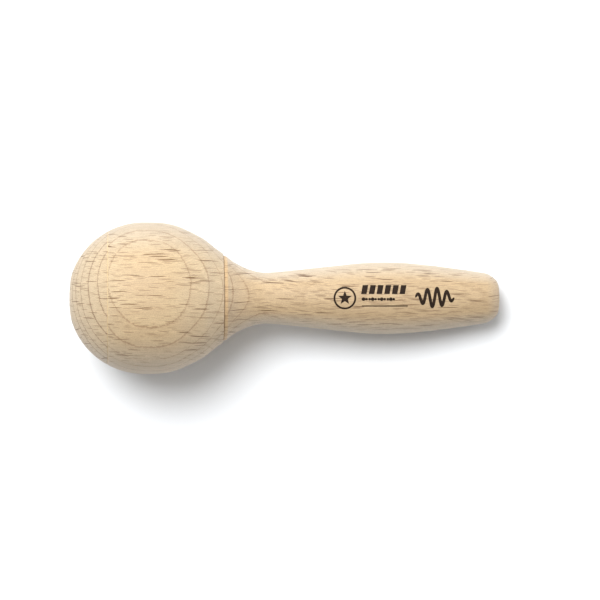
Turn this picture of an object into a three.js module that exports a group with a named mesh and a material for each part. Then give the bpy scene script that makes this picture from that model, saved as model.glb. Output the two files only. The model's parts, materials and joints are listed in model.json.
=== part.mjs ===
// Wooden baby rattle, lying on a table: a hollow turned head closed by a glued front cap,
// a turned handle glued into the back of the head, and loose steel pellets in the chamber.
// Millimetres, +Z up. The turned pieces share one axis and are drawn along it, from the tip
// of the head (0) to the end of the handle. An outline gives (distance along, radius).
import * as THREE from "three";

// turning
const FACETS = 24;
const CURVE_STEPS = 5;
const ON_AXIS = 1e-6;
const GLUE_GAP = 0.1;

// outside of the head: two arcs of one radius, a fuller back and a rounded rear edge
const HEAD_RADIUS = 24.65;
const FRONT_CENTRE = 24.2;
const REAR_CENTRE = 27.3;
const POLE_ANGLE = THREE.MathUtils.degToRad(20);
const SHOULDER_ALONG = 38;
const SHOULDER_PULL = 8.5;
const BACK_EDGE = new THREE.Vector2(49.25, 15.0);
const BACK_EDGE_SLOPE = 0.7;
const BACK_EDGE_PULL = 6;
const REAR_FACE = 49.95;
const REAR_FACE_RADIUS = 14.0;

// joint between cap and shell
const CAP_SEAM = 12.5;
const SPIGOT_LENGTH = 4;
const DISH_RADIUS = 13;
const DISH_DEPTH = 8.5;

// chamber and tenon
const BORE_RADIUS = 17.5;
const CHAMBER_FLOOR = 42;
const CHAMBER_CORNER = 6;
const TENON_RADIUS = 7;
const TENON_CHAMFER = 0.5;

// outside of the handle
const COLLAR_RADIUS = 13.85;
const COLLAR_END = new THREE.Vector2(50.95, 13.65);
const FLARE_SLOPE = 0.88;
const FLARE_PULL = 4;
const NECK = new THREE.Vector2(63.9, 8.3);
const NECK_PULL_FRONT = 3.6;
const NECK_PULL_BACK = 4.8;
const BELLY = new THREE.Vector2(99, 11.62);
const BELLY_PULL = 5;
const TAIL = new THREE.Vector2(135.3, 8.25);
const TAIL_SLOPE = 0.156;
const TAIL_PULL = 26;
const HANDLE_END = 140;
const END_FACE_RADIUS = 4.2;
const END_ROUND_START = 2;
const END_ROUND_STOP = 1.8;

// pellets: vertical lanes between the floor and the roof of the bore
const PELLET_RADIUS = 2;
const PELLET_ROWS = 6;
const PELLET_COLUMNS = 4;
const PELLET_PITCH = 4.4;
const PELLET_CLEARANCE = 0.3;
const LAST_COLUMN_ALONG = 34;

const BEECH_LIGHT = 0xe4c8a0;
const BEECH_WARM = 0xdcbf98;
const STEEL = 0xb9bcc0;

function outlineOfCap() {
  const face = CAP_SEAM - GLUE_GAP / 2;
  const spigotRadius = BORE_RADIUS - GLUE_GAP;
  const spigotEnd = CAP_SEAM + SPIGOT_LENGTH;
  const poleAlong = FRONT_CENTRE - HEAD_RADIUS * Math.cos(POLE_ANGLE);
  const poleRadius = HEAD_RADIUS * Math.sin(POLE_ANGLE);
  const outline = new THREE.Path();
  outline.moveTo(0, 0);
  outline.quadraticCurveTo(0, poleRadius - poleAlong / Math.tan(POLE_ANGLE), poleAlong, poleRadius);
  outline.absarc(FRONT_CENTRE, 0, HEAD_RADIUS, Math.PI - POLE_ANGLE, angleOnFront(face), true);
  outline.lineTo(face, spigotRadius);
  outline.lineTo(spigotEnd, spigotRadius);
  outline.lineTo(spigotEnd, DISH_RADIUS);
  outline.absellipse(spigotEnd, 0, DISH_DEPTH, DISH_RADIUS, Math.PI / 2, Math.PI, false);
  return outline;
}

function outlineOfShell() {
  const face = CAP_SEAM + GLUE_GAP / 2;
  const shoulderAngle = Math.acos((SHOULDER_ALONG - REAR_CENTRE) / HEAD_RADIUS);
  const shoulderRadius = HEAD_RADIUS * Math.sin(shoulderAngle);
  const shoulderSlope = 1 / Math.tan(shoulderAngle);
  const cornerCentre = CHAMBER_FLOOR - CHAMBER_CORNER;
  const outline = new THREE.Path();
  outline.absarc(FRONT_CENTRE, 0, HEAD_RADIUS, angleOnFront(face), Math.PI / 2, true);
  outline.absarc(REAR_CENTRE, 0, HEAD_RADIUS, Math.PI / 2, shoulderAngle, true);
  outline.bezierCurveTo(
    SHOULDER_ALONG + SHOULDER_PULL,
    shoulderRadius - SHOULDER_PULL * shoulderSlope,
    BACK_EDGE.x - BACK_EDGE_PULL,
    BACK_EDGE.y + BACK_EDGE_PULL * BACK_EDGE_SLOPE,
    BACK_EDGE.x,
    BACK_EDGE.y,
  );
  outline.quadraticCurveTo(
    REAR_FACE,
    BACK_EDGE.y - (REAR_FACE - BACK_EDGE.x) * BACK_EDGE_SLOPE,
    REAR_FACE,
    REAR_FACE_RADIUS,
  );
  outline.lineTo(REAR_FACE, TENON_RADIUS);
  outline.lineTo(CHAMBER_FLOOR, TENON_RADIUS);
  outline.lineTo(CHAMBER_FLOOR, BORE_RADIUS - CHAMBER_CORNER);
  outline.absarc(cornerCentre, BORE_RADIUS - CHAMBER_CORNER, CHAMBER_CORNER, 0, Math.PI / 2, false);
  outline.lineTo(face, BORE_RADIUS);
  outline.closePath();
  return outline;
}

function outlineOfHandle() {
  const shoulder = REAR_FACE + GLUE_GAP;
  const tenonRadius = TENON_RADIUS - GLUE_GAP;
  const outline = new THREE.Path();
  outline.moveTo(CHAMBER_FLOOR, 0);
  outline.lineTo(CHAMBER_FLOOR, tenonRadius - TENON_CHAMFER);
  outline.lineTo(CHAMBER_FLOOR + TENON_CHAMFER, tenonRadius);
  outline.lineTo(shoulder, tenonRadius);
  outline.lineTo(shoulder, COLLAR_RADIUS);
  outline.lineTo(COLLAR_END.x, COLLAR_END.y);
  outline.bezierCurveTo(
    COLLAR_END.x + FLARE_PULL,
    COLLAR_END.y - FLARE_PULL * FLARE_SLOPE,
    NECK.x - NECK_PULL_FRONT,
    NECK.y,
    NECK.x,
    NECK.y,
  );
  outline.bezierCurveTo(
    NECK.x + NECK_PULL_BACK,
    NECK.y,
    BELLY.x - BELLY_PULL,
    BELLY.y,
    BELLY.x,
    BELLY.y,
  );
  outline.bezierCurveTo(
    BELLY.x + BELLY_PULL,
    BELLY.y,
    TAIL.x - TAIL_PULL,
    TAIL.y + TAIL_PULL * TAIL_SLOPE,
    TAIL.x,
    TAIL.y,
  );
  outline.bezierCurveTo(
    TAIL.x + END_ROUND_START,
    TAIL.y - END_ROUND_START * TAIL_SLOPE,
    HANDLE_END,
    END_FACE_RADIUS + END_ROUND_STOP,
    HANDLE_END,
    END_FACE_RADIUS,
  );
  outline.lineTo(HANDLE_END, 0);
  return outline;
}

// angle on the front arc of the head at a distance along the axis
function angleOnFront(along) {
  return Math.acos((along - FRONT_CENTRE) / HEAD_RADIUS);
}

// a solid of revolution about X, with one facet facing straight down
function turned(name, outline, colour) {
  const points = outline.getPoints(CURVE_STEPS).map(({ x: along, y: radius }) => {
    return new THREE.Vector2(radius < ON_AXIS ? 0 : radius, along);
  });
  const geometry = new THREE.LatheGeometry(points, FACETS, Math.PI / FACETS, 2 * Math.PI);
  geometry.rotateZ(-Math.PI / 2);
  const material = new THREE.MeshStandardMaterial({ color: colour, roughness: 0.6, metalness: 0 });
  const mesh = new THREE.Mesh(geometry, material);
  mesh.name = name;
  return mesh;
}

function pellet(number, along, across) {
  const reach = BORE_RADIUS - PELLET_RADIUS - PELLET_CLEARANCE;
  const geometry = new THREE.IcosahedronGeometry(PELLET_RADIUS, 1);
  const material = new THREE.MeshStandardMaterial({ color: STEEL, roughness: 0.35, metalness: 0.9 });
  const mesh = new THREE.Mesh(geometry, material);
  mesh.name = `pellet_${String(number).padStart(2, "0")}`;
  mesh.position.set(along, across, -Math.sqrt(reach * reach - across * across));
  return mesh;
}

// the lean at which the head and the handle both touch the table
function restingTilt() {
  const flat = Math.cos(Math.PI / FACETS);
  const headReach = HEAD_RADIUS * flat;
  const tilts = outlineOfHandle().getPoints(CURVE_STEPS).map((p) => {
    const along = p.x - REAR_CENTRE;
    const radius = p.y * flat;
    return Math.asin(headReach / Math.hypot(along, radius)) - Math.atan2(radius, along);
  });
  return Math.min(...tilts.filter((tilt) => Number.isFinite(tilt)));
}

const axisGroup = new THREE.Group();
axisGroup.name = "turned_axis";
axisGroup.add(turned("head_cap", outlineOfCap(), BEECH_LIGHT));
axisGroup.add(turned("head_shell", outlineOfShell(), BEECH_LIGHT));
axisGroup.add(turned("handle", outlineOfHandle(), BEECH_WARM));

for (let row = 0; row < PELLET_ROWS; row += 1) {
  const across = (row - (PELLET_ROWS - 1) / 2) * PELLET_PITCH;
  const stagger = (row % 2) * (PELLET_PITCH / 2);
  for (let column = 0; column < PELLET_COLUMNS; column += 1) {
    const along = LAST_COLUMN_ALONG - stagger - column * PELLET_PITCH;
    axisGroup.add(pellet(row * PELLET_COLUMNS + column + 1, along, across));
  }
}

// head towards -X, handle end down on the table
axisGroup.rotation.y = restingTilt();

const rattle = new THREE.Group();
rattle.name = "baby_rattle";
rattle.add(axisGroup);
rattle.updateMatrixWorld(true);

// origin at the middle of the footprint, on the table
const box = new THREE.Box3().setFromObject(rattle, true);
axisGroup.position.set(-(box.min.x + box.max.x) / 2, -(box.min.y + box.max.y) / 2, -box.min.z);
rattle.updateMatrixWorld(true);

export default rattle;
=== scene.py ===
"""Looks of the wooden baby rattle: turned beech head and handle, glue lines, pellets and burnt marks."""
import json
import math

import bmesh
import bpy
from mathutils import Matrix, Vector


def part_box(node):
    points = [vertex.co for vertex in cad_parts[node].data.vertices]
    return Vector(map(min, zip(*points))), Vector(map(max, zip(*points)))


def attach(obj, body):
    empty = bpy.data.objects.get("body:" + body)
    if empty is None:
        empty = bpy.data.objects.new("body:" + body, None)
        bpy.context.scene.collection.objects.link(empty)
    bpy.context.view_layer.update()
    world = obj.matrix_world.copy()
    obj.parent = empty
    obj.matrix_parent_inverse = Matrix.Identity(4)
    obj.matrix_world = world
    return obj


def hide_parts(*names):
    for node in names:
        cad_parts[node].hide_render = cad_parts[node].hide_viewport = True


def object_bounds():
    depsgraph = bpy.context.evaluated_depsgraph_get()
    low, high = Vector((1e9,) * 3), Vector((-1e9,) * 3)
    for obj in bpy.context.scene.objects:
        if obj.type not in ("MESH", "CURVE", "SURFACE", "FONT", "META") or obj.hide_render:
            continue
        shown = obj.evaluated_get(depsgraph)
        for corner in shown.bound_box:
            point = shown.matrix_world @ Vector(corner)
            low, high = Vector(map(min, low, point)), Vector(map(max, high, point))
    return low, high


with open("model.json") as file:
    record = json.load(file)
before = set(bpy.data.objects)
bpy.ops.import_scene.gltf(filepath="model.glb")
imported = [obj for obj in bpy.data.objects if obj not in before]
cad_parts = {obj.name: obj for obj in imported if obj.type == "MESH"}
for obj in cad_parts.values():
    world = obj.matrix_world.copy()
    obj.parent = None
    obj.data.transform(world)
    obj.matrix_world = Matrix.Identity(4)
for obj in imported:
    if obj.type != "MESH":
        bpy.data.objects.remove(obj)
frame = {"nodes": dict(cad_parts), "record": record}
cad_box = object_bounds()

MM = 0.001
RATTLE = "rattle"

# The turned outlines, as the CAD has them, in millimetres: a place along the axis counts from the
# tip of the head, and a pair is (along, radius).
HEAD_RADIUS = 24.65
FRONT_CENTRE = 24.2
REAR_CENTRE = 27.3
POLE_ANGLE = math.radians(20)
SHOULDER_ALONG = 38
SHOULDER_PULL = 8.5
BACK_EDGE = (49.25, 15.0)
BACK_EDGE_SLOPE = 0.7
BACK_EDGE_PULL = 6
REAR_FACE = 49.95
REAR_FACE_RADIUS = 14.0
CAP_SEAM = 12.5
SPIGOT_LENGTH = 4
DISH_RADIUS = 13
DISH_DEPTH = 8.5
BORE_RADIUS = 17.5
CHAMBER_FLOOR = 42
CHAMBER_CORNER = 6
TENON_RADIUS = 7
TENON_CHAMFER = 0.5
COLLAR_RADIUS = 13.85
COLLAR_END = (50.95, 13.65)
FLARE_SLOPE = 0.88
FLARE_PULL = 4
NECK = (63.9, 8.3)
NECK_PULL_FRONT = 3.6
NECK_PULL_BACK = 4.8
BELLY = (99, 11.62)
BELLY_PULL = 5
TAIL = (135.3, 8.25)
TAIL_SLOPE = 0.156
TAIL_PULL = 26
HANDLE_END = 140
END_FACE_RADIUS = 4.2
END_ROUND_START = 2
END_ROUND_STOP = 1.8
GLUE_GAP = 0.1

# Blender's own: eased rims at the joints, and how finely the outlines are turned
EDGE_EASE = 0.12
STEPS = 24
SHORT_STEPS = 8
AROUND = 128
ON_AXIS = 1e-6
SHARP = math.radians(28)


# ---- the shared axis, from the frame ----
def axis_matrix():
    """Takes a point from the axis's own space (along, across, up) to the frame."""
    mount = next(m for m in frame["record"]["mounts"] if m["name"] == "handle_end")
    along = Vector(mount["axis"]).normalized()
    across = Vector((0, 1, 0))
    up = along.cross(across).normalized()
    tip = Vector(mount["pos_m"]) - along * HANDLE_END * MM
    turn = Matrix((along, across, up)).transposed().to_4x4()
    return Matrix.Translation(tip) @ turn


AXIS = axis_matrix()


# ---- outlines ----
def arc(centre, radius, start, stop, middle_height=0.0, steps=STEPS):
    angles = [start + (stop - start) * k / steps for k in range(steps + 1)]
    return [(centre + radius * math.cos(a), middle_height + radius * math.sin(a)) for a in angles]


def bezier(a, b, c, d, steps=STEPS):
    """A curve from a to d, pulled towards b and c."""
    points = []
    for k in range(steps + 1):
        t = k / steps
        weights = ((1 - t) ** 3, 3 * (1 - t) ** 2 * t, 3 * (1 - t) * t**2, t**3)
        points.append(tuple(sum(w * p[i] for w, p in zip(weights, (a, b, c, d))) for i in (0, 1)))
    return points


def front_radius(along):
    """The radius of the front of the head, where the cap meets the shell."""
    return math.sqrt(HEAD_RADIUS**2 - (FRONT_CENTRE - along) ** 2)


def cap_outline():
    face = CAP_SEAM - GLUE_GAP / 2
    pole = (FRONT_CENTRE - HEAD_RADIUS * math.cos(POLE_ANGLE), HEAD_RADIUS * math.sin(POLE_ANGLE))
    pull = pole[1] - pole[0] / math.tan(POLE_ANGLE)
    crown = bezier((0, 0), (0, pull * 2 / 3), (pole[0] / 3, pull + (pole[1] - pull) / 3), pole)
    ease = face - EDGE_EASE
    rim = math.acos((ease - FRONT_CENTRE) / HEAD_RADIUS)
    dish = [
        (CAP_SEAM + SPIGOT_LENGTH + DISH_DEPTH * math.cos(a), DISH_RADIUS * math.sin(a))
        for a in (math.pi / 2 * (1 + k / STEPS) for k in range(STEPS + 1))
    ]
    return (
        crown
        + arc(FRONT_CENTRE, HEAD_RADIUS, math.pi - POLE_ANGLE, rim)[1:]
        + [(face, front_radius(face) - EDGE_EASE)]
        + [(face, BORE_RADIUS - GLUE_GAP), (CAP_SEAM + SPIGOT_LENGTH, BORE_RADIUS - GLUE_GAP)]
        + dish
    )


def shell_outline():
    face = CAP_SEAM + GLUE_GAP / 2
    ease = face + EDGE_EASE
    rim = math.acos((ease - FRONT_CENTRE) / HEAD_RADIUS)
    shoulder = math.acos((SHOULDER_ALONG - REAR_CENTRE) / HEAD_RADIUS)
    height = HEAD_RADIUS * math.sin(shoulder)
    slope = 1 / math.tan(shoulder)
    corner = CHAMBER_FLOOR - CHAMBER_CORNER
    back = bezier(
        (SHOULDER_ALONG, height),
        (SHOULDER_ALONG + SHOULDER_PULL, height - SHOULDER_PULL * slope),
        (BACK_EDGE[0] - BACK_EDGE_PULL, BACK_EDGE[1] + BACK_EDGE_PULL * BACK_EDGE_SLOPE),
        BACK_EDGE,
    )
    edge_pull = (REAR_FACE, BACK_EDGE[1] - (REAR_FACE - BACK_EDGE[0]) * BACK_EDGE_SLOPE)
    edge = bezier(BACK_EDGE, edge_pull, edge_pull, (REAR_FACE, REAR_FACE_RADIUS), SHORT_STEPS)
    points = (
        [(face, front_radius(face) - EDGE_EASE)]
        + arc(FRONT_CENTRE, HEAD_RADIUS, rim, math.pi / 2)
        + arc(REAR_CENTRE, HEAD_RADIUS, math.pi / 2, shoulder, steps=SHORT_STEPS)
        + back[1:]
        + edge[1:]
        + [(REAR_FACE, TENON_RADIUS), (CHAMBER_FLOOR, TENON_RADIUS)]
        + arc(corner, CHAMBER_CORNER, 0, math.pi / 2, BORE_RADIUS - CHAMBER_CORNER, SHORT_STEPS)
        + [(face, BORE_RADIUS)]
    )
    return points + points[:1]


def handle_outline():
    shoulder = REAR_FACE + GLUE_GAP
    tenon = TENON_RADIUS - GLUE_GAP
    flare = bezier(
        COLLAR_END,
        (COLLAR_END[0] + FLARE_PULL, COLLAR_END[1] - FLARE_PULL * FLARE_SLOPE),
        (NECK[0] - NECK_PULL_FRONT, NECK[1]),
        NECK,
    )
    rise = bezier(NECK, (NECK[0] + NECK_PULL_BACK, NECK[1]), (BELLY[0] - BELLY_PULL, BELLY[1]), BELLY)
    fall = bezier(
        BELLY,
        (BELLY[0] + BELLY_PULL, BELLY[1]),
        (TAIL[0] - TAIL_PULL, TAIL[1] + TAIL_PULL * TAIL_SLOPE),
        TAIL,
    )
    end = bezier(
        TAIL,
        (TAIL[0] + END_ROUND_START, TAIL[1] - END_ROUND_START * TAIL_SLOPE),
        (HANDLE_END, END_FACE_RADIUS + END_ROUND_STOP),
        (HANDLE_END, END_FACE_RADIUS),
    )
    return (
        [(CHAMBER_FLOOR, 0), (CHAMBER_FLOOR, tenon - TENON_CHAMFER)]
        + [(CHAMBER_FLOOR + TENON_CHAMFER, tenon), (shoulder, tenon)]
        + [(shoulder, COLLAR_RADIUS - EDGE_EASE), (shoulder + EDGE_EASE, COLLAR_RADIUS)]
        + flare
        + rise[1:]
        + fall[1:]
        + end[1:]
        + [(HANDLE_END, 0)]
    )


# ---- meshes ----
def finished(name, mesh, material, body, matrix=AXIS):
    """Puts a mesh in its place, with its object at the origin as the frame's own nodes are."""
    mesh.transform(matrix)
    obj = bpy.data.objects.new(name, mesh)
    bpy.context.scene.collection.objects.link(obj)
    mesh.materials.append(material)
    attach(obj, body)
    return obj


def smooth_with_edges(mesh):
    """Shades a mesh smooth but for its sharp edges, with its faces pointing out."""
    bm = bmesh.new()
    bm.from_mesh(mesh)
    bmesh.ops.recalc_face_normals(bm, faces=bm.faces)
    for face in bm.faces:
        face.smooth = True
    for edge in bm.edges:
        edge.smooth = edge.calc_face_angle(0) < SHARP
    bm.to_mesh(mesh)
    bm.free()


def revolved(name, outline, around=AROUND):
    """A solid of revolution about the shared axis. Points on the axis become one vertex."""
    verts = []
    rings = []
    for along, radius in outline:
        if abs(radius) < ON_AXIS:
            rings.append([len(verts)] * around)
            verts.append((along * MM, 0, 0))
            continue
        rings.append(list(range(len(verts), len(verts) + around)))
        for k in range(around):
            angle = 2 * math.pi * (k + 0.5) / around
            verts.append((along * MM, radius * MM * math.sin(angle), -radius * MM * math.cos(angle)))
    closed = len(outline) > 2 and outline[0] == outline[-1]
    if closed:
        rings[-1] = rings[0]
    faces = []
    for first, second in zip(rings, rings[1:]):
        for k in range(around):
            n = (k + 1) % around
            corners = [first[k], first[n], second[n], second[k]]
            kept = [c for i, c in enumerate(corners) if c not in corners[:i]]
            if len(kept) > 2:
                faces.append(kept)
    mesh = bpy.data.meshes.new(name)
    mesh.from_pydata(verts, [], faces)
    if closed:
        bm = bmesh.new()
        bm.from_mesh(mesh)
        bmesh.ops.delete(bm, geom=[v for v in bm.verts if not v.link_faces], context="VERTS")
        bm.to_mesh(mesh)
        bm.free()
    smooth_with_edges(mesh)
    return mesh


# ---- node graphs ----
class Graph:
    """Short calls for building one material's nodes."""

    def __init__(self, name):
        self.material = bpy.data.materials.new(name)
        self.material.use_nodes = True
        self.tree = self.material.node_tree
        self.shader = self.tree.nodes["Principled BSDF"]

    def put(self, kind, **settings):
        node = self.tree.nodes.new(kind)
        for key, value in settings.items():
            setattr(node, key, value)
        return node

    def feed(self, socket, value):
        if isinstance(value, bpy.types.NodeSocket):
            self.tree.links.new(value, socket)
        else:
            socket.default_value = value

    def math(self, operation, a, b=None):
        node = self.put("ShaderNodeMath", operation=operation)
        self.feed(node.inputs[0], a)
        if b is not None:
            self.feed(node.inputs[1], b)
        return node.outputs[0]

    def vector(self, operation, a, b=None):
        node = self.put("ShaderNodeVectorMath", operation=operation)
        self.feed(node.inputs[0], a)
        if b is not None:
            self.feed(node.inputs[1], b)
        return node.outputs["Value"] if operation == "DOT_PRODUCT" else node.outputs[0]

    def stretch(self, vector, cell):
        """Counts a place in cells instead of millimetres."""
        return self.vector("MULTIPLY", vector, tuple(1 / c for c in cell))

    def span(self, value, low, high, out_low=0.0, out_high=1.0, smooth=True):
        """Turns low to high into out_low to out_high, and holds those ends beyond them."""
        node = self.put("ShaderNodeMapRange", interpolation_type="SMOOTHSTEP" if smooth else "LINEAR")
        for socket, v in zip(node.inputs, (value, low, high, out_low, out_high)):
            self.feed(socket, v)
        return node.outputs[0]

    def swing(self, value, reach):
        """Turns a value around one half into one around zero, reach times as wide."""
        return self.math("MULTIPLY", self.math("SUBTRACT", value, 0.5), reach)

    def noise(self, vector, cell, detail=2.0, rough=0.5, colour=False):
        node = self.put("ShaderNodeTexNoise", noise_dimensions="3D")
        self.feed(node.inputs["Vector"], self.stretch(vector, cell))
        self.feed(node.inputs["Scale"], 1.0)
        self.feed(node.inputs["Detail"], detail)
        self.feed(node.inputs["Roughness"], rough)
        return node.outputs["Color" if colour else "Fac"]

    def noise_1d(self, value, scale, detail):
        node = self.put("ShaderNodeTexNoise", noise_dimensions="1D")
        self.feed(node.inputs["W"], value)
        self.feed(node.inputs["Scale"], scale)
        self.feed(node.inputs["Detail"], detail)
        return node.outputs["Fac"]

    def wander(self, place, cell, reach):
        """Pushes a place about, smoothly from cell to cell, over a range of reach."""
        push = self.vector("SUBTRACT", self.noise(place, cell, 1.0, colour=True), (0.5, 0.5, 0.5))
        return self.vector("ADD", place, self.vector("MULTIPLY", push, reach))

    def mix(self, fac, a, b):
        """Mixes colours: the colour sockets of the Mix node are 6 and 7 in, 2 out."""
        node = self.put("ShaderNodeMix", data_type="RGBA")
        self.feed(node.inputs["Factor"], fac)
        self.feed(node.inputs[6], a)
        self.feed(node.inputs[7], b)
        return node.outputs[2]

    def axis_space(self, roll=0.0, shift=(0, 0, 0)):
        """Where a point lies along, across and above the turned axis, in millimetres."""
        coords = self.put("ShaderNodeTexCoord")
        turn = Matrix.Rotation(math.radians(roll), 4, "X") @ AXIS.inverted()
        mapping = self.put("ShaderNodeMapping", vector_type="POINT")
        self.feed(mapping.inputs["Vector"], coords.outputs["Object"])
        mapping.inputs["Scale"].default_value = (1 / MM,) * 3
        mapping.inputs["Rotation"].default_value = turn.to_euler()
        mapping.inputs["Location"].default_value = turn.to_translation() / MM + Vector(shift)
        return mapping.outputs[0]

    def along_axis(self):
        """How far the surface faces along the axis, 0 to 1."""
        coords = self.put("ShaderNodeTexCoord")
        axis = AXIS.to_3x3().col[0]
        return self.math("ABSOLUTE", self.vector("DOT_PRODUCT", coords.outputs["Normal"], tuple(axis)))

    def across_axis(self):
        """How far the surface faces sideways, where the cut lies flat on the rays, 0 to 1. It also
        places the painted sheen of the side tone.
        """
        coords = self.put("ShaderNodeTexCoord")
        return self.math("ABSOLUTE", self.split(coords.outputs["Normal"])[1])

    def split(self, vector):
        node = self.put("ShaderNodeSeparateXYZ")
        self.feed(node.inputs[0], vector)
        return node.outputs


def srgb(r, g, b):
    """A colour given as 0 to 255 screen values, as the shader wants it."""
    def linear(value):
        value /= 255
        return value / 12.92 if value <= 0.04045 else ((value + 0.055) / 1.055) ** 2.4

    return (linear(r), linear(g), linear(b), 1.0)


# ---- beech ----
# Sizes are in millimetres along, across and above the axis, and a cell is one patch of a noise.
# A range is where something starts and where it is at its full.
BEECH = {
    "pale": srgb(185, 162, 127),
    "tan": srgb(174, 149, 116),
    "ring": srgb(126, 94, 64),
    # end: a paler, greyer tone where the surface faces along the axis, partly end grain and partly
    # painted sheen on the flanks
    "end": srgb(184, 166, 139),
    # side: a paler, greyer tone on faces turned sideways, partly the quarter-sawn face's own look and
    # partly painted sheen
    "side": srgb(178, 164, 144),
    "ray": srgb(84, 52, 12),
    "fibre": 0.16,
}
BEECH_CAP = BEECH | {"ring": srgb(104, 72, 46)}
BEECH_HANDLE = BEECH | {
    # the golden tone of the painted highlight on the collar's cylindrical land
    "collar_highlight": srgb(186, 156, 116),
    "pale": srgb(178, 154, 120),
    "tan": srgb(167, 143, 110),
    "fibre": 0.12,
    # end: the same mix of end grain and painted sheen, for the handle
    "end": srgb(176, 157, 132),
    # side: the same mix of the quarter-sawn look and painted sheen, for the handle
    "side": srgb(184, 171, 152),
    "ray": srgb(72, 41, 10),
}

# the grain wanders slowly, and the rays ripple as well
DRIFT_CELL = (46, 22, 22)
DRIFT_REACH = (0.0, 2.6, 3.4)
RIPPLE_CELL = (5.5, 2.5, 9)
RIPPLE_REACH = (0.0, 0.42, 0.0)

# growth layers: they lean a little, bow down to both sides and have ragged edges
LAYER_UP = (0.0, 0.15, 0.989)
LAYER_BOW = 0.009
RAGGED_CELL = (1.6, 0.40, 0.40)
RAGGED_REACH = 0.75
UNEVEN_STEP = 0.7
UNEVEN_REACH = 0.5
LATE_START = 0.30
LINE_END = 0.965
FAINTEST_LINE = 0.60
FADED_LINE = 0.25

# lengthwise streaks, and flakes on the sides
SWAY_CELL = (6.5, 0.9, 0.9)
SWAY = 1.4
STREAKS_PER_MM = (0.0, 1 / 0.54, 1 / 1.05)
PATCH_CELL = (5.0, 1.1, 1.1)
PATCH_STREAKS = (0.08, 0.30)
STREAKS_LEFT = 0.12
FLAKE_CELL = (7.0, 0.5, 0.4)
FLAKE_REACH = 0.8
FLAKE_RANGE = (0.40, 0.80)

# rays by kind: cell, share of the cells that hold one, least and largest reach in cells, darkness
BIG_RAYS = ((8.8, 0.34, 10.0), 0.20, (0.32, 0.48), 1.0)
FINE_RAYS = ((5.5, 0.28, 6.5), 0.35, (0.30, 0.46), 0.70)
RAY_DUST = ((1.3, 0.20, 5.0), 0.45, (0.18, 0.42), 0.25)
RAY_STAGGER = (2.9, 0.37)
FAINTEST_RAY = 0.60
RAY_EDGE = (0.80, 1.0)
# the paler rim beside each ray is a painted highlight on the lip of the sunken ray
MARGIN_EDGE = (1.4, 2.6)
RAY_LIP_HIGHLIGHT = 0.12
RAYS_LEFT_ENDWAYS = 0.85
RAYS_LEFT_SIDEWAYS = 0.25
RAYS_SIDE_RANGE = (0.72, 0.97)

# colour
CLOUD_CELL = (24, 3.2, 3.2)
CLOUD_TAN = 0.55
LATE_TAN = 0.40
# how much the end tone, partly painted sheen, covers faces turned along the axis
END_GRAIN_AND_SHEEN = 0.75
END_RANGE = (0.12, 0.80)
# how much and where faces turned sideways take the side tone, which is partly painted sheen
SIDE_GRAIN_AND_SHEEN = 0.75
SIDE_GRAIN_AND_SHEEN_RANGE = (0.45, 0.95)
# strength and soft edges of the painted highlight on the collar land
COLLAR_HIGHLIGHT = 0.8
COLLAR_RISE = 0.1
COLLAR_FALL = 0.3
PORE_CELL = (0.26, 0.17, 0.17)
PORE_REACH = 0.50


def growth_layers(g, place, first, spacing, width):
    """How far each point is into the late wood of its layer, and on the dark line at its end."""
    across = g.split(place)[1]
    depth = g.vector("DOT_PRODUCT", place, LAYER_UP)
    bow = g.math("MULTIPLY", g.math("MULTIPLY", across, across), LAYER_BOW)
    ragged = g.swing(g.noise(place, RAGGED_CELL, 2.0, 0.6), RAGGED_REACH)
    level = g.math("ADD", g.math("ADD", depth, bow), ragged)
    turn = g.math("DIVIDE", g.math("SUBTRACT", level, first), spacing)
    uneven = g.noise_1d(g.math("MULTIPLY", turn, UNEVEN_STEP), 1.0, 0.0)
    count = g.math("ADD", turn, g.swing(uneven, UNEVEN_REACH))
    phase = g.math("FRACT", count)
    dice = g.put("ShaderNodeTexWhiteNoise", noise_dimensions="1D")
    g.feed(dice.inputs["W"], g.math("FLOOR", count))
    strength = g.span(dice.outputs["Value"], 0, 1, FAINTEST_LINE, 1.0, smooth=False)
    late = g.span(phase, LATE_START, 1.0)
    line = g.math("MULTIPLY", g.span(phase, LINE_END - width, LINE_END), strength)
    return late, line


def fibres(g, place, sideways):
    """Light and dark streaks along the wood, which give way to flakes where it faces sideways."""
    sway = g.math("MULTIPLY", g.noise(place, SWAY_CELL, 1.0), SWAY)
    lie = g.math("ADD", g.vector("DOT_PRODUCT", place, STREAKS_PER_MM), sway)
    streak = g.math("SINE", g.math("MULTIPLY", lie, 2 * math.pi))
    patch = g.span(g.noise(place, PATCH_CELL, 1.0), 0.30, 0.70, *PATCH_STREAKS)
    patch = g.math("MULTIPLY", patch, g.span(sideways, *FLAKE_RANGE, 1.0, STREAKS_LEFT))
    flaky = g.span(sideways, *FLAKE_RANGE, 0.0, FLAKE_REACH)
    flake = g.swing(g.noise(place, FLAKE_CELL, 1.0), flaky)
    return g.math("ADD", g.math("ADD", 0.5, flake), g.math("MULTIPLY", streak, patch))


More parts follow.
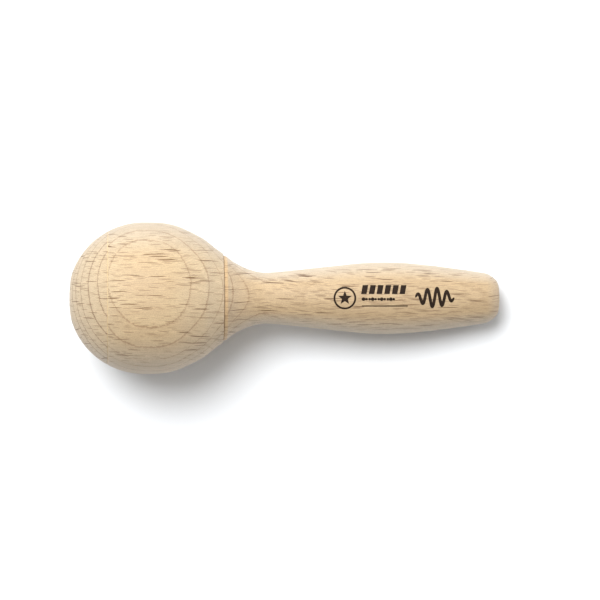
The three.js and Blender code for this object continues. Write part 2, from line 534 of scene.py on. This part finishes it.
def flecks(g, place, cell, keep, sizes):
    """One kind of ray: thin upright sheets, one in some cells, seen from above as short dashes.

    Gives how far each point is inside a ray, and how far inside the paler rim beside it, which is a
    painted highlight on the lip of the sunken ray.
    """
    node = g.put("ShaderNodeTexVoronoi", voronoi_dimensions="3D", feature="F1")
    _, across, up = g.split(place)[:3]
    stagger = [g.math("MULTIPLY", part, share) for part, share in zip((across, up), RAY_STAGGER)]
    offset = g.put("ShaderNodeCombineXYZ")
    g.feed(offset.inputs[0], g.math("ADD", *stagger))
    g.feed(node.inputs["Vector"], g.stretch(g.vector("ADD", place, offset.outputs[0]), cell))
    g.feed(node.inputs["Scale"], 1.0)
    dice = g.put("ShaderNodeSeparateColor")
    g.feed(dice.inputs[0], node.outputs["Color"])
    size = g.span(dice.outputs[0], 1 - keep, 1.0, *sizes, smooth=False)
    kept = g.math("GREATER_THAN", dice.outputs[0], 1 - keep)
    near = g.math("DIVIDE", node.outputs["Distance"], size)
    strength = g.span(dice.outputs[1], 0.0, 0.6, FAINTEST_RAY, 1.0, smooth=False)
    strength = g.math("MULTIPLY", kept, strength)
    ray = g.math("MULTIPLY", g.span(near, *RAY_EDGE, 1.0, 0.0), strength)
    ray_highlight = g.math("MULTIPLY", g.span(near, *MARGIN_EDGE, 1.0, 0.0), strength)
    return ray, ray_highlight


def rays(g, place, rippled, thin, more):
    """How dark each point is with rays of every kind, and how pale with the painted highlight beside
    them.
    """
    cell, keep, sizes, dark = RAY_DUST
    dust, _ = flecks(g, place, cell, keep, sizes)
    ray = g.math("MULTIPLY", dust, dark)
    ray_highlight = 0.0
    for cell, keep, sizes, dark in (BIG_RAYS, FINE_RAYS):
        thinned = (cell[0], cell[1] * thin, cell[2])
        inside, beside = flecks(g, rippled, thinned, keep * more, sizes)
        ray = g.math("MAXIMUM", ray, g.math("MULTIPLY", inside, dark))
        ray_highlight = g.math("MAXIMUM", ray_highlight, g.math("MULTIPLY", beside, dark))
    return ray, ray_highlight


def sanded(g, lengthwise, fibre, ray):
    """Untreated wood off the lathe: dull and a little velvety, with fine ridges and sunken rays."""
    g.feed(g.shader.inputs["Roughness"], g.span(fibre, 0.2, 0.8, 0.55, 0.70))
    g.shader.inputs["Specular IOR Level"].default_value = 0.4
    g.shader.inputs["Sheen Weight"].default_value = 0.12
    g.shader.inputs["Sheen Roughness"].default_value = 0.40
    ridges = g.math("MULTIPLY", g.noise_1d(lengthwise, 3.0, 2.0), 0.25)
    height = g.math("SUBTRACT", g.math("MULTIPLY", fibre, 0.6), g.math("MULTIPLY", ray, 0.8))
    bump = g.put("ShaderNodeBump")
    g.feed(bump.inputs["Height"], g.math("ADD", height, ridges))
    bump.inputs["Distance"].default_value = 0.03 * MM
    bump.inputs["Strength"].default_value = 0.6
    g.feed(g.shader.inputs["Normal"], bump.outputs[0])


def beech(
    name, shift, roll, first, spacing, tones=BEECH, rings=0.75, width=0.05, thin=1.0, more=1.0,
    collar_highlight=None, fading=None,
):
    """Solid beech: layers, rays and fibres run through the piece, so every cut through it agrees.

    shift (mm) and roll (degrees) pick the place in the tree. The growth layers lie nearly flat,
    spacing apart, with one of them first above the axis; rings says how dark their end lines are and
    width how wide, in layers. thin and more scale the rays' width and number. The collar argument is
    where along the axis a painted highlight starts and ends: a bright golden band for the light that
    the collar's cylindrical land catches. Over fading the lines grow faint.
    """
    g = Graph(name)
    straight = g.axis_space(roll, shift)
    along = g.split(g.axis_space())[0]
    place = g.wander(straight, DRIFT_CELL, DRIFT_REACH)
    rippled = g.wander(place, RIPPLE_CELL, RIPPLE_REACH)
    end_grain = g.span(g.along_axis(), *END_RANGE)
    sideways = g.across_axis()

    late, line = growth_layers(g, place, first, spacing, width)
    if fading:
        line = g.math("MULTIPLY", line, g.span(along, *fading, 1.0, FADED_LINE))
    fibre = fibres(g, place, sideways)
    ray, ray_highlight = rays(g, place, rippled, thin, more)

    cloud = g.span(g.noise(place, CLOUD_CELL), 0.30, 0.70, 0.0, CLOUD_TAN)
    tone = g.mix(g.math("MULTIPLY", late, LATE_TAN), tones["pale"], tones["tan"])
    tone = g.mix(cloud, tone, tones["tan"])
    # partly painted sheen: faces turned along the axis take a paler, greyer tone, besides the end
    # grain's own tone
    tone = g.mix(g.math("MULTIPLY", end_grain, END_GRAIN_AND_SHEEN), tone, tones["end"])
    # partly painted sheen: faces turned sideways are paler and greyer, for the whitening grazing light
    # gives them, besides the quarter-sawn look
    tone = g.mix(g.math("MULTIPLY", g.span(sideways, *SIDE_GRAIN_AND_SHEEN_RANGE), SIDE_GRAIN_AND_SHEEN), tone, tones["side"])
    tone = g.mix(g.math("MULTIPLY", line, rings), tone, tones["ring"])
    if collar_highlight:
        rise = g.span(along, collar_highlight[0] - COLLAR_RISE, collar_highlight[0])
        band = g.math("MULTIPLY", rise, g.span(along, collar_highlight[1] - COLLAR_FALL, collar_highlight[1], 1, 0))
        # painted highlight: a brighter golden band on the collar's cylindrical land, for the light it
        # catches
        tone = g.mix(g.math("MULTIPLY", band, COLLAR_HIGHLIGHT), tone, tones["collar_highlight"])
    endways = g.span(end_grain, 0, 1, 1.0, RAYS_LEFT_ENDWAYS)
    fade = g.math("MULTIPLY", endways, g.span(sideways, *RAYS_SIDE_RANGE, 1.0, RAYS_LEFT_SIDEWAYS))
    tone = g.mix(g.math("MULTIPLY", ray, fade), tone, tones["ray"])

    pores = g.swing(g.noise(place, PORE_CELL, 0.0), PORE_REACH)
    grit = g.math("ADD", g.swing(fibre, tones["fibre"] * 2), pores)
    # grain and pores darken or lighten the colour, and the painted highlight beside each ray lightens it
    shade = g.math("ADD", g.math("ADD", 1.0, grit), g.math("MULTIPLY", ray_highlight, RAY_LIP_HIGHLIGHT))
    grey = g.put("ShaderNodeCombineXYZ")
    for socket in grey.inputs:
        g.feed(socket, shade)
    g.feed(g.shader.inputs["Base Color"], g.vector("MULTIPLY", tone, grey.outputs[0]))
    sanded(g, g.split(straight)[0], fibre, ray)
    return g.material


# ---- other materials ----
def glue(name, colour):
    """Dried glue in a joint, in light and dark clumps."""
    g = Graph(name)
    clumps = g.noise(g.axis_space(), (0.5, 0.9, 0.9), 3.0)
    dark = tuple(0.72 * c for c in colour[:3]) + (1.0,)
    g.feed(g.shader.inputs["Base Color"], g.mix(clumps, dark, colour))
    g.feed(g.shader.inputs["Roughness"], g.span(clumps, 0.2, 0.8, 0.35, 0.6))
    return g.material


def burnt(name):
    """Wood charred by a hot iron: nearly black, a little broken up by the grain."""
    g = Graph(name)
    grain = g.noise(g.axis_space(), (2.2, 0.16, 0.4), 3.0, 0.6)
    char = g.mix(g.span(grain, 0.35, 0.75), srgb(26, 17, 10), srgb(50, 34, 21))
    g.feed(g.shader.inputs["Base Color"], char)
    g.feed(g.shader.inputs["Roughness"], g.span(grain, 0.2, 0.8, 0.7, 0.9))
    g.shader.inputs["Specular IOR Level"].default_value = 0.2
    return g.material


def steel(name):
    """Bright ball steel, scuffed by rolling in the wood."""
    g = Graph(name)
    wear = g.noise(g.axis_space(), (0.5, 0.5, 0.5), 3.0, 0.6)
    g.feed(g.shader.inputs["Base Color"], g.mix(wear, srgb(150, 152, 156), srgb(196, 198, 201)))
    g.feed(g.shader.inputs["Roughness"], g.span(wear, 0.25, 0.75, 0.18, 0.42))
    g.shader.inputs["Metallic"].default_value = 1.0
    return g.material


def floor_white(name):
    """A matt white table top."""
    g = Graph(name)
    g.shader.inputs["Base Color"].default_value = (0.82, 0.836, 0.852, 1)
    g.shader.inputs["Roughness"].default_value = 0.9
    g.shader.inputs["Specular IOR Level"].default_value = 0.1
    return g.material


# ---- wooden pieces ----
def wooden(node, outline, material):
    """A turned piece that stands for one of the frame's wooden nodes."""
    name = node + "_turned"
    piece = finished(name, revolved(name, outline), material, RATTLE)
    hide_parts(node)


# where along the axis the painted highlight on the collar land lies
COLLAR_HIGHLIGHT_BAND = (REAR_FACE + GLUE_GAP, COLLAR_END[0] + 0.4)
NECK_FADING = (60, 70)
HANDLE_PROFILE = handle_outline()

wood_shell = beech("beech_shell", shift=(3.0, 0.0, 0.0), roll=0.0, first=22.1, spacing=3.3)
wood_cap = beech(
    "beech_cap", shift=(41.0, 0.6, 0.0), roll=1.5, first=20.4, spacing=2.9,
    tones=BEECH_CAP, rings=1.0, width=0.085,
)
wood_handle = beech(
    "beech_handle", shift=(-80.0, 1.5, 0.0), roll=-6.0, first=9.2, spacing=3.1,
    tones=BEECH_HANDLE, thin=0.75, more=1.3, collar_highlight=COLLAR_HIGHLIGHT_BAND, fading=NECK_FADING,
)
wooden("head_shell", shell_outline(), wood_shell)
wooden("head_cap", cap_outline(), wood_cap)
wooden("handle", HANDLE_PROFILE, wood_handle)


# ---- glue in the two joints, a thin ring that stops just under the surface. The pale cap ring is partly a painted highlight on the eased rims beside the seam, and the brown handle ring is partly painted shade for the shadow down in the seam ----
GLUE_WIDTH = GLUE_GAP * 0.9
GLUE_INSIDE = 0.3
CAP_GLUE_BELOW = EDGE_EASE * 0.7
HANDLE_GLUE_BELOW = 0.14


def glue_ring(name, along, inner, outer, material):
    low, high = along - GLUE_WIDTH / 2, along + GLUE_WIDTH / 2
    loop = [(low, inner), (low, outer), (high, outer), (high, inner)]
    finished(name, revolved(name, loop + loop[:1]), material, RATTLE)


# pale glue, partly a painted highlight on the eased rims either side of the cap seam
pale_glue_and_highlight = glue("pale_glue_and_highlight", srgb(250, 222, 168))
# brown glue, partly painted shade for the shadow down in the handle seam
brown_glue_and_shade = glue("brown_glue_and_shade", srgb(150, 108, 66))
glue_ring(
    "cap_glue_line", CAP_SEAM, BORE_RADIUS + GLUE_INSIDE, front_radius(CAP_SEAM) - CAP_GLUE_BELOW,
    pale_glue_and_highlight,
)
glue_ring(
    "handle_glue_line", REAR_FACE + GLUE_GAP / 2, TENON_RADIUS + GLUE_INSIDE,
    COLLAR_RADIUS - HANDLE_GLUE_BELOW, brown_glue_and_shade,
)


# ---- burnt marks: a plain star in a ring, a beat pattern and a sound wave ----
MARK_PROUD = 0.025
MARK_SUNK = 0.06

STAR_ALONG = 89.0
STAR_POINTS = 5
STAR_TIP = 2.35
STAR_NOTCH = 1.0
STAR_HOLE = 0.02
RING_INNER = 3.05
RING_OUTER = 3.65

BEATS_START = 94.5
BEATS_END = 109.4
BEAT_COUNT = 6
BEAT_FILL = 0.72
BEAT_ACROSS = 2.75
BEAT_HEIGHT = 2.9
BEAT_SLANT = 0.2
DOT_COUNT = 11
DOT_START = 0.5
DOT_PITCH = 0.98
DOT_ACROSS = -0.35
DOT_HOLE = 0.02
DOT_RADIUS = 0.42
LOUD_DOT_RADIUS = 0.6
LOUD_EVERY = 3
LINE_ACROSS = -2.55
LINE_HEIGHT = 0.34

WAVE_START = 111.8
WAVE_END = 124.6
WAVE_TURNS = 4
WAVE_ACROSS = 0.2
WAVE_QUIET = 0.7
WAVE_SWELL = 2.3
STROKE_WIDTH = 1.0
STROKE_TIP = 0.05
STROKE_FULLNESS = 14
STROKE_STEP = 1e-3


def handle_radius(along):
    outside = [p for p in HANDLE_PROFILE if p[0] > REAR_FACE + GLUE_GAP]
    for (x0, r0), (x1, r1) in zip(outside, outside[1:]):
        if x0 <= along <= x1 and x1 > x0:
            return r0 + (r1 - r0) * (along - x0) / (x1 - x0)
    raise ValueError(f"no handle at {along} mm")


def on_handle(along, across, proud):
    """Bends a flat place round the top of the handle, so far proud of the wood."""
    radius = handle_radius(along)
    angle = math.asin(across / radius)
    reach = (radius + proud) * MM
    return (along * MM, reach * math.sin(angle), reach * math.cos(angle))


class Mark:
    """Thin burnt shapes laid on the handle, each a grid whose place(u, v) gives (along, across)."""

    def __init__(self):
        self.verts = []
        self.faces = []

    def grid(self, place, across_u, across_v, round_u=False):
        columns = across_u if round_u else across_u + 1
        rows = across_v + 1
        start = len(self.verts)
        for proud in (MARK_PROUD, -MARK_SUNK):
            for i in range(columns):
                for j in range(rows):
                    self.verts.append(on_handle(*place(i / across_u, j / across_v), proud))
        size = columns * rows

        def corner(i, j, layer):
            return start + layer * size + (i % columns) * rows + j

        def wall(a, b):
            self.faces.append([corner(*a, 0), corner(*b, 0), corner(*b, 1), corner(*a, 1)])

        for i in range(across_u):
            for j in range(across_v):
                quad = [(i, j), (i + 1, j), (i + 1, j + 1), (i, j + 1)]
                self.faces.append([corner(*c, 0) for c in quad])
                self.faces.append([corner(*c, 1) for c in reversed(quad)])
            for j in (0, across_v):
                wall((i, j), (i + 1, j))
        if not round_u:
            for i in (0, across_u):
                for j in range(across_v):
                    wall((i, j), (i, j + 1))

    def build(self, name, material):
        mesh = bpy.data.meshes.new(name)
        mesh.from_pydata(self.verts, [], self.faces)
        smooth_with_edges(mesh)
        finished(name, mesh, material, RATTLE)


def ring_place(along, across, inner, outer):
    def place(u, v):
        angle, radius = 2 * math.pi * u, inner + (outer - inner) * v
        return along + radius * math.cos(angle), across + radius * math.sin(angle)
    return place


def star_place(along, across, points, tip, notch):
    """A star with a hole at its centre, too small to see, so that its grid closes."""
    def place(u, v):
        turn = u * points * 2
        share = turn - math.floor(turn)
        spots = []
        for k in (0, 1):
            radius = tip if (int(turn) + k) % 2 == 0 else notch
            angle = math.pi * (math.floor(turn) + k) / points + math.pi / 2
            spots.append((radius * math.cos(angle), radius * math.sin(angle)))
        x, y = ((1 - share) * a + share * b for a, b in zip(*spots))
        scale = STAR_HOLE + (1 - STAR_HOLE) * v
        return along + scale * x, across + scale * y
    return place


def bar_place(low, high, across, height, slant=0.0):
    def place(u, v):
        up = (v - 0.5) * height
        return low + (high - low) * u + slant * up, across + up
    return place


def stroke_place(path, width):
    """A stroke along path(u) with rounded ends."""
    def place(u, v):
        (xa, ya), (xb, yb) = path(max(u - STROKE_STEP, 0)), path(min(u + STROKE_STEP, 1))
        length = math.hypot(xb - xa, yb - ya)
        full = math.sqrt(max(0.0, 1 - abs(2 * u - 1) ** STROKE_FULLNESS))
        side = (v - 0.5) * width * (full * (1 - STROKE_TIP) + STROKE_TIP)
        x, y = path(u)
        return x - side * (yb - ya) / length, y + side * (xb - xa) / length
    return place


def wave(u):
    """A sound wave that swells and dies away."""
    along = WAVE_START + (WAVE_END - WAVE_START) * u
    height = WAVE_QUIET + WAVE_SWELL * math.sin(math.pi * u)
    return along, WAVE_ACROSS + height * math.sin(2 * math.pi * WAVE_TURNS * u)


ink = burnt("burnt_mark")

star_mark = Mark()
star_mark.grid(ring_place(STAR_ALONG, 0.0, RING_INNER, RING_OUTER), 64, 2, round_u=True)
star_mark.grid(star_place(STAR_ALONG, 0.0, STAR_POINTS, STAR_TIP, STAR_NOTCH), 60, 5, round_u=True)
star_mark.build("mark_star", ink)

beats = Mark()
pitch = (BEATS_END - BEATS_START) / BEAT_COUNT
for k in range(BEAT_COUNT):
    low = BEATS_START + k * pitch
    beats.grid(bar_place(low, low + pitch * BEAT_FILL, BEAT_ACROSS, BEAT_HEIGHT, BEAT_SLANT), 8, 8)
for k in range(DOT_COUNT):
    middle = BEATS_START + DOT_START + k * DOT_PITCH
    radius = DOT_RADIUS if k % LOUD_EVERY else LOUD_DOT_RADIUS
    beats.grid(ring_place(middle, DOT_ACROSS, DOT_HOLE, radius), 16, 2, round_u=True)
beats.grid(bar_place(BEATS_START, BEATS_END, LINE_ACROSS, LINE_HEIGHT), 60, 1)
beats.build("mark_beats", ink)

flourish = Mark()
flourish.grid(stroke_place(wave, STROKE_WIDTH), 280, 3)
flourish.build("mark_wave", ink)


# ---- pellets ----
BALL_SUBDIVISIONS = 3


def ball(name, radius):
    mesh = bpy.data.meshes.new(name)
    bm = bmesh.new()
    bmesh.ops.create_icosphere(bm, subdivisions=BALL_SUBDIVISIONS, radius=radius)
    for face in bm.faces:
        face.smooth = True
    bm.to_mesh(mesh)
    bm.free()
    return mesh


pellet_steel = steel("pellet_steel")
for node in sorted(n for n in frame["nodes"] if n.startswith("pellet_")):
    low, high = (Vector(corner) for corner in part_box(node))
    name = node + "_ball"
    place = Matrix.Translation((low + high) / 2)
    pellet = finished(name, ball(name, min(high - low) / 2), pellet_steel, node, place)
    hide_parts(node)


# ---- stage ----
scene = bpy.context.scene

FLOOR_HALF = 1.2
floor_mesh = bpy.data.meshes.new("floor")
corner_signs = ((-1, -1), (1, -1), (1, 1), (-1, 1))
floor_corners = [(x * FLOOR_HALF, y * FLOOR_HALF, cad_box[0][2]) for x, y in corner_signs]
floor_mesh.from_pydata(floor_corners, [], [(0, 1, 2, 3)])
floor_mesh.materials.append(floor_white("floor_white"))
floor = bpy.data.objects.new("floor", floor_mesh)
scene.collection.objects.link(floor)

ROOM_COLOUR = (1.0, 0.975, 0.945, 1)
BACKDROP_TOP = (0.08, 0.32)
BACKDROP_STRENGTH = 1.0
ROOM_STRENGTH = 0.13


def studio_world():
    """A dim warm room with a white backdrop low down all round, which fades out upwards."""
    world = bpy.data.worlds.new("studio")
    world.use_nodes = True
    tree = world.node_tree
    background = tree.nodes["Background"]
    background.inputs["Color"].default_value = ROOM_COLOUR
    coords = tree.nodes.new("ShaderNodeTexCoord")
    split = tree.nodes.new("ShaderNodeSeparateXYZ")
    fall = tree.nodes.new("ShaderNodeMapRange")
    fall.interpolation_type = "SMOOTHSTEP"
    for socket, value in zip(fall.inputs[1:5], (*BACKDROP_TOP, BACKDROP_STRENGTH, ROOM_STRENGTH)):
        socket.default_value = value
    tree.links.new(coords.outputs["Generated"], split.inputs[0])
    tree.links.new(split.outputs["Z"], fall.inputs[0])
    tree.links.new(fall.outputs[0], background.inputs["Strength"])
    return world


def softbox(name, direction, distance, size, power, colour):
    """An oval area light that faces the origin."""
    light = bpy.data.lights.new(name, "AREA")
    light.shape = "ELLIPSE"
    light.size, light.size_y = size
    light.energy = power
    light.color = colour
    obj = bpy.data.objects.new(name, light)
    towards = Vector(direction).normalized()
    obj.location = towards * distance
    obj.rotation_euler = towards.to_track_quat("Z", "Y").to_euler()
    scene.collection.objects.link(obj)


scene.world = studio_world()
softbox("key", (-0.21, 0.46, 1.0), 1.6, (1.1, 1.1), 32.0, (0.975, 0.985, 1.0))
softbox("back", (-0.35, 1.0, 0.5), 1.8, (2.4, 1.2), 9, (0.95, 0.975, 1.0))
softbox("side", (1.0, 0.25, 0.6), 1.8, (1.4, 1.4), 8, (1.0, 0.99, 0.98))
softbox("overhead", (-0.08, 0.28, 1.0), 1.8, (2.4, 2.4), 14.5, (0.985, 0.99, 1.0))

# The camera looks almost straight down, from a little to the handle's side.
CAMERA_LEAN = math.radians(5.4)
CAMERA_DISTANCE = 1.0677
CAMERA_FIELD = math.radians(10.449)
CAMERA_TARGET = Vector((0.00523, -0.00062, 0.020))
camera_data = bpy.data.cameras.new("camera")
camera_data.sensor_width = 36
camera_data.angle = CAMERA_FIELD
camera = bpy.data.objects.new("camera", camera_data)
backwards = Vector((math.sin(CAMERA_LEAN), 0, math.cos(CAMERA_LEAN)))
camera.location = CAMERA_TARGET + CAMERA_DISTANCE * backwards
camera.rotation_euler = (0, CAMERA_LEAN, 0)
scene.collection.objects.link(camera)
scene.camera = camera
scene.view_settings.view_transform = "Standard"
